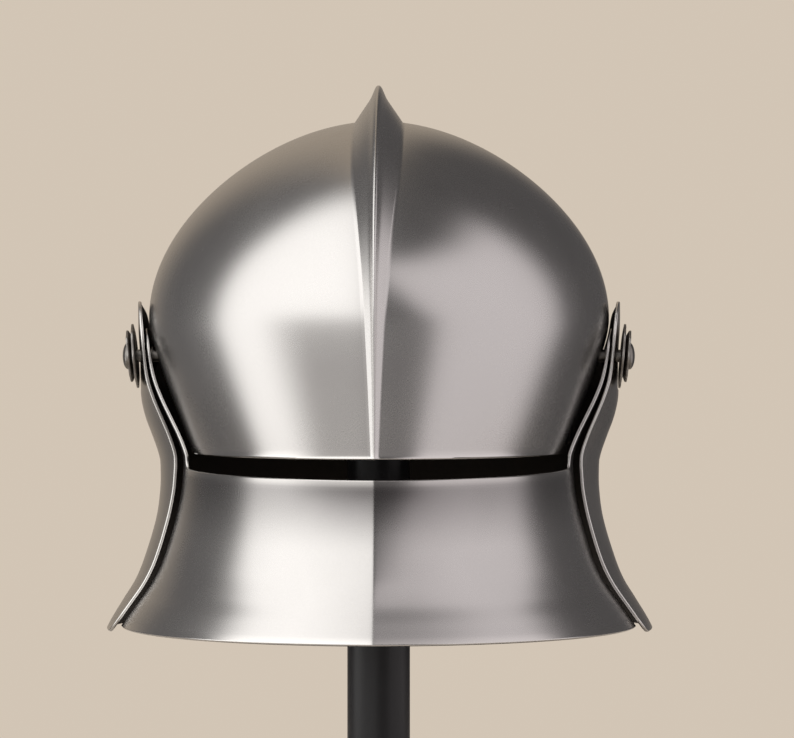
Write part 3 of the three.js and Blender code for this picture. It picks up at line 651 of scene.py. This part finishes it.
def tail_face(y, z):
    """The side's outer face. In front it follows the arm's curve, and behind the arm's tip it
    leans in to the bowl."""
    half, front, _, bulge = side_line(z)
    ahead = np.maximum(VISOR_SETBACK - y, 0) / (front - VISOR_CREASE + VISOR_SETBACK)
    up = np.clip((z - WAIST_Z) / (PIVOT_Z - WAIST_Z), 0, 1)
    arm_curve = half * (1 - (1 - ahead**VISOR_ROUND) ** (1 / VISOR_ROUND)) * up
    space = np.maximum(half + ARM_GAP + bulge - bowl_half(z) - TUCK_CLEARANCE, 0)
    tuck = space * eased(y, TUCK_START, TUCK_END) * eased(z, PIVOT_Z - TUCK_DROP, PIVOT_Z)
    swell = bulge * (1 - ((SIDE_END - y) / (SIDE_END - EAR_FRONT)) ** 2)
    return half + ARM_GAP + PLATE + swell - arm_curve - tuck


def tail_top(y):
    """The upper edge: level round the back, then sweeping up to the ear."""
    t = np.linspace(0, 1, 500)[:, None]
    handles = (
        (SWEEP_START, TAIL_TOP_Z), (SWEEP_HANDLE, TAIL_TOP_Z),
        (EAR_BACK, EAR_Z - EAR_HANDLE), (EAR_BACK, EAR_Z),
    )
    p0, p1, p2, p3 = (np.array(handle, float) for handle in handles)
    path = p0 * (1 - t) ** 3 + 3 * p1 * t * (1 - t) ** 2 + 3 * p2 * t**2 * (1 - t) + p3 * t**3
    return np.interp(y, path[::-1, 0], path[::-1, 1])


corner_rear = EAR_FRONT + TAIL_CORNER
side_y = np.concatenate([
    EAR_FRONT + TAIL_CORNER * corner_steps**2, np.linspace(corner_rear, EAR_BACK, 21)[1:],
    np.linspace(EAR_BACK, SIDE_END, 5)[1:],
])
corner_lift = np.zeros(len(side_y))
corner_lift[:len(corner_steps)] = TAIL_CORNER * (1 - corner_steps) ** 2
back_angles = np.linspace(math.pi / 2, 0, 37)[1:]
low_rows = np.linspace(0, 1, 50)


def tail_points(z):
    """The outer face at rows of heights, from the ear's front edge round to the nape."""
    near, rest = z[:, :len(side_y)], z[:, len(side_y):]
    flat = np.stack([tail_face(side_y[None], near), np.broadcast_to(side_y, near.shape), near], -1)
    _, _, back, _ = side_line(rest)
    wide = tail_face(SIDE_END, rest) * np.sin(back_angles)
    behind = SIDE_END + (back - SIDE_END) * np.cos(back_angles)
    return np.concatenate([flat, np.stack([wide, behind, rest], -1)], 1)

columns = len(side_y) + len(back_angles)
skirt_z = TAIL_Z + (EAR_FOOT_Z - TAIL_Z) * low_rows[:, None]
skirt_z = np.broadcast_to(skirt_z, (len(low_rows), columns))
for _ in range(3):
    skirt_y = tail_points(skirt_z)[..., 1]
    low = TAIL_Z - NAPE_DIP * np.clip((skirt_y - corner_rear) / NAPE_RUN, 0, 1)
    low[:, :len(side_y)] += corner_lift
    skirt_z = low + (EAR_FOOT_Z - low) * low_rows[:, None]
skirt = tail_points(skirt_z)

ear_columns = int(np.argmin(np.abs(side_y - EAR_BACK)))
high_rows = np.linspace(0, 1, 17)
top_y = tail_points(np.full((1, columns), EAR_FOOT_Z))[0, :, 1]
collar_z = EAR_FOOT_Z + (tail_top(top_y) - EAR_FOOT_Z)[None] * high_rows[:, None]
collar = tail_points(collar_z)[:, ear_columns:]

ear_loop = [(y, EAR_FOOT_Z) for y in side_y[:ear_columns + 1]]
ear_rise = np.linspace(EAR_FOOT_Z, EAR_Z, 17)
ear_loop += [(EAR_BACK, h) for h in ear_rise[1:]]
ear_middle = EAR_BACK - EAR_RADIUS
for a in np.linspace(0, math.pi, 33)[1:]:
    ear_loop.append((ear_middle + EAR_RADIUS * math.cos(a), EAR_Z + EAR_RADIUS * math.sin(a)))
ear_loop += [(EAR_FRONT, h) for h in ear_rise[-2:0:-1]]
ear, ear_faces = lug(ear_loop, 18)
tail_patches = [
    (skirt.reshape(-1, 3), grid_faces(*skirt.shape[:2])),
    (collar.reshape(-1, 3), grid_faces(*collar.shape[:2])),
    (np.stack([tail_face(ear[:, 0], ear[:, 1]), ear[:, 0], ear[:, 1]], -1), ear_faces),
]
polished_tail = steel_finish("polished_tail", (0.66, 0.64, 0.61), (0.54, 0.52, 0.495), 0.29)
tail = plate_object("tail_plate", *two_sided(tail_patches), None, [polished_tail, scaled_inside_painted_dark])
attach(tail, "helmet")
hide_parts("tail")


# Each pivot has two cut washers of darker steel, lobed like an eight-petalled flower: a large
# one against the ear and a small dished one over it, embossed with a ring of petals.
LARGE_RADIUS, LARGE_DISH, SMALL_RADIUS, SMALL_DISH = 15.4, 0.5, 12.4, 1.8
WASHER, WASHER_HOLE, WASHER_EDGE, WASHER_GAP, WASHER_TILT = 1.0, 4.0, 0.3, 0.4, 0.09
LOBES, LOBE_DEPTH = 8, 0.5
HEAD_RADIUS = 6.5
seat_turns = np.linspace(0, 2 * math.pi, 25)
seat_up = LARGE_RADIUS * np.sin(seat_turns)
seats = tail_face(LARGE_RADIUS * np.cos(seat_turns), PIVOT_Z + seat_up)
seats = seats - LARGE_DISH - seat_up * WASHER_TILT
LARGE_FACE = float(seats.max()) + WASHER_GAP
SMALL_FACE = LARGE_FACE + WASHER + WASHER_GAP
HEAD_FACE = SMALL_FACE + WASHER + WASHER_GAP + HEAD_RADIUS * WASHER_TILT


def worn_finish(name, colour, grime, roughness):
    """Older, darker steel: brown in the hollows and rubbed on what stands out."""
    made, tree = new_finish(name)
    where = Wire.node(tree, "ShaderNodeTexCoord", {}, {}, "Object")
    stains = noise(tree, where, 190, 4.0, 0.6)
    pits = noise(tree, where, 1500, 2.0, 0.6)
    rubbed = Wire.node(tree, "ShaderNodeAttribute", {"attribute_name": "edge"}, {}, "Fac")
    tint = blend(tree, stains, (*grime, 1), (*colour, 1))
    tint = blend(tree, rubbed * 0.6, tint, (0.55, 0.53, 0.50, 1))
    rough = roughness + stains * 0.14 - rubbed * 0.08
    relief = Wire.node(
        tree, "ShaderNodeBump", {},
        {"Strength": 0.8, "Distance": 0.00012, "Height": stains + pits * 0.4},
    )
    steel = Wire.node(
        tree, "ShaderNodeBsdfPrincipled", {},
        {"Base Color": tint, "Metallic": 1.0, "Roughness": rough, "Normal": relief},
    )
    Wire.node(tree, "ShaderNodeOutputMaterial", {}, {"Surface": steel})
    return made


def ring_faces(rings, turns, closed=True):
    """Faces between rings of points, and from the last ring to the first where it is closed."""
    faces = []
    for i in range(rings if closed else rings - 1):
        here, there = i * turns, (i + 1) % rings * turns
        for j in range(turns):
            after = (j + 1) % turns
            faces.append((here + j, there + j, there + after, here + after))
    return faces


def turned(profile, turns, lobes=None):
    """A closed lathe about the x axis from (radius, x) pairs, as points and faces."""
    angles = np.linspace(0, 2 * math.pi, turns, endpoint=False)
    rows = []
    for radius, x in profile:
        reach = radius * (lobes(radius, angles) if lobes else np.ones(turns))
        row = [np.full(turns, x), -reach * np.cos(angles), reach * np.sin(angles)]
        rows.append(np.stack(row, -1))
    return np.concatenate(rows), ring_faces(len(profile), turns)


def on_side(points, faces, side):
    """Turns a piece built for the right temple half round to the other one."""
    return (points, faces) if side > 0 else (points * [-1, 1, 1], [face[::-1] for face in faces])


def facing_out(points, faces):
    """Reverses all faces of a closed solid where they point inwards."""
    volume = 0.0
    for face in faces:
        for i in range(1, len(face) - 1):
            a, b, c = points[face[0]], points[face[i]], points[face[i + 1]]
            volume += float(np.dot(a, np.cross(b, c)))
    return faces if volume > 0 else [face[::-1] for face in faces]


petal_tree = bpy.data.node_groups.new("petal_ring", "GeometryNodeTree")
petal_sizes = ("Petal length", "Petal width", "Petal height")
petal_inputs = {}
for label, kind in (
    ("Geometry", "NodeSocketGeometry"), ("Petals", "NodeSocketInt"),
    ("Ring radius", "NodeSocketFloat"), *((label, "NodeSocketFloat") for label in petal_sizes),
    ("Finish", "NodeSocketMaterial"),
):
    made = petal_tree.interface.new_socket(label, in_out="INPUT", socket_type=kind)
    petal_inputs[label] = made.identifier
petal_tree.interface.new_socket("Geometry", in_out="OUTPUT", socket_type="NodeSocketGeometry")
given = petal_tree.nodes.new("NodeGroupInput")
result = petal_tree.nodes.new("NodeGroupOutput")
ring = Wire.node(
    petal_tree, "GeometryNodeMeshCircle", {},
    {"Vertices": Wire(given.outputs["Petals"]), "Radius": Wire(given.outputs["Ring radius"])},
)
bead = Wire.node(
    petal_tree, "GeometryNodeMeshUVSphere", {}, {"Segments": 16, "Rings": 10, "Radius": 0.5}
)
size = Wire.node(
    petal_tree, "ShaderNodeCombineXYZ", {},
    {i: Wire(given.outputs[label]) for i, label in enumerate(petal_sizes)},
)
place = Wire.node(petal_tree, "GeometryNodeInputPosition")
facing = Wire.node(
    petal_tree, "FunctionNodeAlignRotationToVector", {"axis": "X", "pivot_axis": "Z"},
    {"Vector": place},
)
petals = Wire.node(
    petal_tree, "GeometryNodeInstanceOnPoints", {},
    {"Points": ring, "Instance": bead, "Rotation": facing, "Scale": size},
)
solid = Wire.node(petal_tree, "GeometryNodeRealizeInstances", {}, {"Geometry": petals})
painted = Wire.node(
    petal_tree, "GeometryNodeSetMaterial", {},
    {"Geometry": solid, "Material": Wire(given.outputs["Finish"])},
)
petal_tree.links.new(painted.socket, result.inputs["Geometry"])
dark_washer = worn_finish("dark_washer", (0.30, 0.285, 0.265), (0.13, 0.115, 0.10), 0.32)


def petal_points(ring_radius, *sizes):
    """A ring of petals as plain points and faces, in millimetres, flat in x and y."""
    carrier = bpy.data.objects.new("petal_carrier", bpy.data.meshes.new("petal_carrier"))
    bpy.context.collection.objects.link(carrier)
    modifier = carrier.modifiers.new("petals", "NODES")
    modifier.node_group = petal_tree
    modifier[petal_inputs["Petals"]] = LOBES
    for label, value in zip(("Ring radius", *petal_sizes), (ring_radius, *sizes)):
        modifier[petal_inputs[label]] = value * MM
    modifier[petal_inputs["Finish"]] = dark_washer
    evaluated = carrier.evaluated_get(bpy.context.evaluated_depsgraph_get())
    mesh = bpy.data.meshes.new_from_object(evaluated)
    carrier.modifiers.remove(modifier)
    points = np.array([v.co[:] for v in mesh.vertices]) / MM
    faces = [tuple(p.vertices) for p in mesh.polygons]
    bpy.data.objects.remove(carrier)
    bpy.data.meshes.remove(mesh)
    return points, faces


def washer_object(name, radius, dish, face, side, petals):
    """A lobed washer, flat in the middle and dished outside, with its ring of petals."""
    flat = 0.6 * radius
    edge_in = radius - WASHER_EDGE * 0.3

    def dished(share):
        return dish * share * share * (1.6 - 0.6 * share)

    def lobes(reached, angles):
        share = np.clip((reached - flat) / (radius - flat), 0, 1)
        return 1 - LOBE_DEPTH / radius * (1 - np.cos(angles * LOBES)) * share

    profile = [(WASHER_HOLE, 0.0), (flat, 0.0)]
    profile += [(flat + (radius - flat) * t, dished(t)) for t in (0.25, 0.5, 0.75, 0.93)]
    profile += [
        (edge_in, dish + 0.02), (radius, dish + WASHER_EDGE),
        (radius, dish + WASHER - WASHER_EDGE), (edge_in, dish + WASHER - 0.05),
        (radius - WASHER_EDGE, dish + WASHER),
    ]
    profile += [(flat + (radius - flat) * t, dished(t) + WASHER) for t in (0.75, 0.5, 0.25)]
    profile += [
        (flat, WASHER), (WASHER_HOLE + WASHER_EDGE, WASHER), (WASHER_HOLE, WASHER - WASHER_EDGE),
    ]
    points, faces = turned(profile, 128, lobes)
    faces = facing_out(points, faces)
    edge = np.exp(-(((radius - np.hypot(points[:, 1], points[:, 2])) / 0.8) ** 2))
    petal_mesh, petal_faces = petals
    raised = np.stack([petal_mesh[:, 2], -petal_mesh[:, 0], petal_mesh[:, 1]], -1)
    out = np.hypot(raised[:, 1], raised[:, 2])
    raised[:, 0] += WASHER + dished(np.clip((out - flat) / (radius - flat), 0, 1))
    petal_faces = [tuple(i + len(points) for i in petal_face) for petal_face in petal_faces]
    edge = np.concatenate([edge, np.full(len(raised), 0.5)])
    points = np.concatenate([points, raised])
    faces = faces + facing_out(points, petal_faces)
    lean_c, lean_s = math.cos(WASHER_TILT), math.sin(WASHER_TILT)
    leaned_x = points[:, 0] * lean_c + points[:, 2] * lean_s
    leaned_z = points[:, 2] * lean_c - points[:, 0] * lean_s
    points = np.stack([leaned_x, points[:, 1], leaned_z], -1) + [face, 0, 0]
    points, faces = on_side(points, faces, side)
    flower = mesh_object(name, points + [0, 0, PIVOT_Z], faces, [dark_washer], edge=edge)
    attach(flower, "helmet")
    return flower


small_petals = petal_points(9.3, 4.6, 2.6, 1.1)
large_petals = petal_points(13.4, 2.4, 2.0, 0.8)
for word, side in (("left", -1), ("right", 1)):
    large = washer_object(
        f"{word}_large_flower", LARGE_RADIUS, LARGE_DISH, LARGE_FACE, side, large_petals
    )
    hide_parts(f"{word}_large_rosette")
    small = washer_object(
        f"{word}_small_flower", SMALL_RADIUS, SMALL_DISH, SMALL_FACE, side, small_petals
    )
    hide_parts(f"{word}_small_rosette")


# Each pivot rivet is a turned steel pin with a low domed head, a collar that keeps the visor's
# arm off the bowl, and an end hammered over inside the bowl.
worn_rivet = worn_finish("worn_rivet", (0.34, 0.325, 0.30), (0.16, 0.145, 0.13), 0.28)
SHANK_RADIUS, COLLAR_RADIUS, COLLAR_BEVEL, COLLAR_TO_ARM = 3.0, 4.5, 0.2, 1.9
DOME_FOOT, DOME_RISE, HEAD_RISE = 0.9, 2.7, 3.6
burr_x = BOWL_FACE - PLATE - 2.9
collar_x = BOWL_FACE + 1.3
arm_x = PIVOT_HALF - PLATE - COLLAR_TO_ARM
collar_bevel = COLLAR_RADIUS - COLLAR_BEVEL
for word, side in (("left", -1), ("right", 1)):
    profile = [
        (0.0, burr_x - 2.4), (2.4, burr_x - 2.35), (3.6, burr_x - 2.1), (4.4, burr_x - 1.4),
        (4.9, burr_x - 0.5), (5.0, burr_x), (SHANK_RADIUS, burr_x),
        (SHANK_RADIUS, collar_x), (collar_bevel, collar_x),
        (COLLAR_RADIUS, collar_x + COLLAR_BEVEL), (COLLAR_RADIUS, arm_x - COLLAR_BEVEL),
        (collar_bevel, arm_x), (SHANK_RADIUS, arm_x),
        (SHANK_RADIUS, HEAD_FACE), (6.2, HEAD_FACE - 0.02),
        (HEAD_RADIUS, HEAD_FACE), (HEAD_RADIUS, HEAD_FACE + 0.5),
    ]
    for a in np.linspace(0, math.pi / 2, 14)[:-1]:
        dome_x = HEAD_FACE + DOME_FOOT + DOME_RISE * math.sin(a)
        profile.append((HEAD_RADIUS * math.cos(a), dome_x))
    profile.append((0.0, HEAD_FACE + HEAD_RISE))
    points, faces = turned(profile, 64)
    points, faces, _ = joined(points, faces)
    faces = facing_out(points, [tuple(f) for f in faces])
    edge = np.exp(-((HEAD_FACE + HEAD_RISE - points[:, 0]) / 1.3) ** 2)
    points, faces = on_side(points, faces, side)
    rivet = mesh_object(f"{word}_rivet", points + [0, 0, PIVOT_Z], faces, [worn_rivet], edge=edge)
    rivet.data.set_sharp_from_angle(angle=math.radians(35))
    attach(rivet, "helmet")
    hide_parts(f"{word}_pivot_rivet")


# The stand is a round wooden foot and a steel tube, both in satin black paint, under a cap
# of matt black rubber cut to the inside of the crown.
def paint_finish(name, colour, roughness, orange_peel):
    """Sprayed paint: even, with a faint orange peel and a little dust."""
    made, tree = new_finish(name)
    where = Wire.node(tree, "ShaderNodeTexCoord", {}, {}, "Object")
    peel = noise(tree, where, orange_peel, 2.0, 0.5)
    dust = noise(tree, where, 60, 4.0, 0.65)
    pale = tuple(c * 1.9 + 0.004 for c in colour)
    tint = blend(tree, dust, (*colour, 1), (*pale, 1))
    relief = Wire.node(
        tree, "ShaderNodeBump", {}, {"Strength": 0.35, "Distance": 0.0001, "Height": peel}
    )
    paint = Wire.node(
        tree, "ShaderNodeBsdfPrincipled", {},
        {"Base Color": tint, "Roughness": roughness + dust * 0.12, "Normal": relief},
    )
    Wire.node(tree, "ShaderNodeOutputMaterial", {}, {"Surface": paint})
    return made


def upright(profile, turns):
    """A closed lathe about the z axis from (radius, z) pairs."""
    points, faces = turned(profile, turns)
    points = np.stack([points[:, 2], points[:, 1], points[:, 0]], -1)
    points, faces, _ = joined(points, faces)
    return points, facing_out(points, [tuple(f) for f in faces])


satin_black = paint_finish("satin_black", (0.010, 0.010, 0.012), 0.30, 700)
rubber_black = paint_finish("rubber_black", (0.016, 0.016, 0.016), 0.62, 1600)
FOOT_RADIUS, FOOT_BEVEL, FOOT_HEIGHT = 115, 2, 14
POST_RADIUS, POST_BEVEL, SEAT_GAP = 15.0, 0.5, 0.4
PAD_RADIUS, PAD_DEPTH, PAD_GAP = 46, 30, 1.5
bevel = [
    (FOOT_RADIUS - FOOT_BEVEL + FOOT_BEVEL * math.sin(a), FOOT_BEVEL - FOOT_BEVEL * math.cos(a))
    for a in np.linspace(0, math.pi / 2, 7)
]
foot_profile = [(0, 0), (80, 0), *bevel]
foot_profile += [(radius, FOOT_HEIGHT - height) for radius, height in reversed(bevel)]
foot_profile += [(radius, FOOT_HEIGHT) for radius in (80, 30, 0)]
foot = mesh_object("stand_foot", *upright(foot_profile, 160), [satin_black])
foot.data.set_sharp_from_angle(angle=math.radians(35))
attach(foot, "helmet")
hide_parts("stand_base")

CAP_Z = WIDEST_Z + CROWN_RISE - PLATE - PAD_GAP - PAD_DEPTH
post_bottom, post_top = FOOT_HEIGHT + SEAT_GAP, CAP_Z - SEAT_GAP
levels = np.linspace(post_bottom + POST_BEVEL, post_top - POST_BEVEL, 40)
post_profile = [(0, post_bottom), (POST_RADIUS - POST_BEVEL, post_bottom)]
post_profile += [(POST_RADIUS, height) for height in levels]
post_profile += [(POST_RADIUS - POST_BEVEL, post_top), (0, post_top)]
post = mesh_object("stand_tube", *upright(post_profile, 96), [satin_black])
post.data.set_sharp_from_angle(angle=math.radians(35))
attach(post, "helmet")
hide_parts("stand_post")

turns = np.linspace(0, 2 * math.pi, 96, endpoint=False)


def level_ring(radius):
    ring = [radius * np.cos(turns), radius * np.sin(turns), np.full(len(turns), CAP_Z)]
    return np.stack(ring, -1)


pad_rows = []
for radius in PAD_RADIUS * np.linspace(0, 1, 24):
    row = level_ring(radius)
    low, high = np.full(len(turns), CAP_Z), np.full(len(turns), WIDEST_Z + CROWN_RISE)
    for _ in range(32):
        middle = (low + high) / 2
        row[:, 2] = middle
        inside = within_bowl(row, PLATE + PAD_GAP)
        low, high = np.where(inside, middle, low), np.where(inside, high, middle)
    row[:, 2] = low
    pad_rows.append(row)
pad_rows += [level_ring(PAD_RADIUS), level_ring(0)]
pad_faces = ring_faces(len(pad_rows), len(turns), closed=False)
pad_points, pad_faces, _ = joined(np.concatenate(pad_rows), pad_faces)
pad_faces = facing_out(pad_points, [tuple(f) for f in pad_faces])
cap = mesh_object("stand_pad", pad_points, pad_faces, [rubber_black])
cap.data.set_sharp_from_angle(angle=math.radians(35))
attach(cap, "helmet")
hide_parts("stand_cap")


# The room: a round pale floor under soft studio light. A large soft box at the left reaches
# overhead, a dimmer one stands at the right, and the far wall is warm and the near one dark.
FLOOR_RADIUS, FLOOR_SIDES = 540, 96
floor_turns = np.linspace(0, 2 * math.pi, FLOOR_SIDES, endpoint=False)
floor_points = [(0.0, 0.0, 0.0)]
for a in floor_turns:
    floor_points.append((FLOOR_RADIUS * math.cos(a), FLOOR_RADIUS * math.sin(a), 0.0))
floor_faces = [(0, i + 1, (i + 1) % FLOOR_SIDES + 1) for i in range(FLOOR_SIDES)]
floor_paint, floor_tree = new_finish("pale_floor")
floor_where = Wire.node(floor_tree, "ShaderNodeTexCoord", {}, {}, "Object")
floor_clouds = noise(floor_tree, floor_where, 3, 2.0)
floor_tint = blend(floor_tree, floor_clouds, (0.66, 0.60, 0.53, 1), (0.69, 0.63, 0.56, 1))
floor_surface = Wire.node(
    floor_tree, "ShaderNodeBsdfPrincipled", {}, {"Base Color": floor_tint, "Roughness": 0.85}
)
Wire.node(floor_tree, "ShaderNodeOutputMaterial", {}, {"Surface": floor_surface})
floor = mesh_object("floor", np.array(floor_points), floor_faces, [floor_paint])
floor.data.polygons.foreach_set("use_smooth", [False] * len(floor.data.polygons))

world = bpy.data.worlds.new("studio")
bpy.context.scene.world = world
world.use_nodes = True
sky = world.node_tree
sky.nodes.clear()
heading = Wire.node(sky, "ShaderNodeTexCoord", {}, {}, "Generated")
apart = sky.nodes.new("ShaderNodeSeparateXYZ")
sky.links.new(heading.socket, apart.inputs[0])
right, back, up = (Wire(s) for s in apart.outputs)
azimuth = right.maths("ARCTAN2", back * -1) * (180 / math.pi)
elevation = up.maths("ARCSINE") * (180 / math.pi)


def past(value, low, high):
    return eased_between(sky, value, low, high)


# Azimuths are in degrees from the camera's side of the helmet, to the right of it above 0
far_wall = 1 - past(azimuth, -168, -138) + past(azimuth, 164, 178)
left_box = (1 - past(back, 0.05, 0.30)) * (1 - past(right, -0.17, -0.03))
left_box = left_box * past(elevation, -40, -28)
slant = azimuth + elevation.maths("MAXIMUM", 0.0) * 0.7
right_box = past(slant, 29, 47) * (1 - past(azimuth, 105, 123))
right_box = right_box * past(elevation, -43, -25) * (1 - past(elevation, 44, 62))
low_patch = past(azimuth, -78, -46) * (1 - past(azimuth, 28, 44))
low_patch = low_patch * (1 - past(elevation, -6, 10))
low_tone = blend(sky, past(azimuth, -14, 10), (0.49, 0.47, 0.46, 1), (0.20, 0.19, 0.19, 1))
room = blend(sky, past(right, -0.3, 0.3), (0.12, 0.115, 0.115, 1), (0.082, 0.078, 0.078, 1))
room = blend(sky, far_wall, room, (0.42, 0.355, 0.285, 1))
room = blend(sky, right_box, room, (0.80, 0.75, 0.76, 1))
room = blend(sky, left_box, room, (1.55, 1.525, 1.50, 1))
room = blend(sky, low_patch, room, low_tone)
seen = Wire.node(sky, "ShaderNodeLightPath", {}, {}, "Is Camera Ray")
shown = blend(sky, seen, room, (0.646, 0.560, 0.464, 1))
light = Wire.node(sky, "ShaderNodeBackground", {}, {"Color": shown, "Strength": 1.0})
Wire.node(sky, "ShaderNodeOutputWorld", {}, {"Surface": light})
bpy.context.scene.view_settings.view_transform = "Standard"
